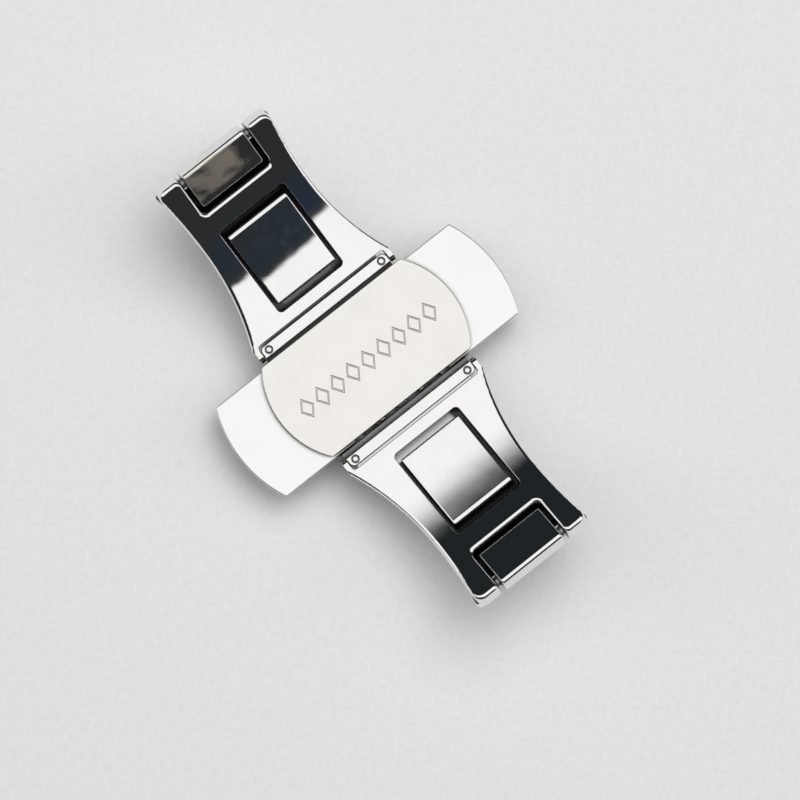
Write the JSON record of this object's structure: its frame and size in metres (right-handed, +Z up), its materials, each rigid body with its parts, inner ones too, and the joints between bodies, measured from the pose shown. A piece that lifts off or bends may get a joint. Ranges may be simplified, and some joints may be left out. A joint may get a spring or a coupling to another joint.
{
  "type": "butterfly clasp",
  "caption": "Folding butterfly clasp for a watch band: slotted curved blades fold over nested links, with sprung side push buttons under a central cover plate.",
  "frame": {"origin": "on the floor under the middle of the closed clasp, which lies on its outer side", "axes": "X across the band through the push buttons, Y along the band, Z up towards the wrist side"},
  "size_m": [0.0226, 0.0368, 0.0091],
  "materials": {
    "polished_steel": "polished stainless steel",
    "brushed_steel": "fine brushed stainless steel",
    "pin_steel": "ground stainless pin stock",
    "spring_steel": "drawn spring wire"
  },
  "bodies": {
    "centre": {"centre_body": "polished_steel", "cover_plate": "brushed_steel", "left_cover_stud": "pin_steel", "right_cover_stud": "pin_steel", "left_button_spring": "spring_steel", "right_button_spring": "spring_steel", "front_left_hinge_pin": "pin_steel", "front_right_hinge_pin": "pin_steel", "back_left_hinge_pin": "pin_steel", "back_right_hinge_pin": "pin_steel"},
    "left_button": {"left_push_button": "polished_steel"},
    "right_button": {"right_push_button": "polished_steel"},
    "front_blade": {"front_inner_blade": "polished_steel", "front_outer_hinge_pin": "pin_steel"},
    "back_blade": {"back_inner_blade": "polished_steel", "back_outer_hinge_pin": "pin_steel"},
    "front_link": {"front_outer_link": "polished_steel", "front_left_catch_post": "pin_steel", "front_right_catch_post": "pin_steel"},
    "back_link": {"back_outer_link": "polished_steel", "back_left_catch_post": "pin_steel", "back_right_catch_post": "pin_steel"}
  },
  "joints": [
    {"name": "front_blade_swing", "type": "hinge", "parent": "centre", "child": "front_blade", "pos_m": [0, -0.00487, 0.00355], "axis": [-1, 0, 0], "range_deg": [0, 60]},
    {"name": "back_blade_swing", "type": "hinge", "parent": "centre", "child": "back_blade", "pos_m": [0, 0.00487, 0.00355], "axis": [1, 0, 0], "range_deg": [0, 60]},
    {"name": "front_link_unfold", "type": "hinge", "parent": "front_blade", "child": "front_link", "pos_m": [0, -0.0175, 0.00821], "axis": [-1, 0, 0], "range_deg": [0, 170]},
    {"name": "back_link_unfold", "type": "hinge", "parent": "back_blade", "child": "back_link", "pos_m": [0, 0.0175, 0.00821], "axis": [1, 0, 0], "range_deg": [0, 170]},
    {"name": "left_button_press", "type": "slide", "parent": "centre", "child": "left_button", "axis": [1, 0, 0], "range_m": [-0.0003, 0.0007], "stiffness_N_per_m": 80, "deforming": ["left_button_spring"]},
    {"name": "right_button_press", "type": "slide", "parent": "centre", "child": "right_button", "axis": [-1, 0, 0], "range_m": [-0.0003, 0.0007], "stiffness_N_per_m": 80, "deforming": ["right_button_spring"]}
  ]
}
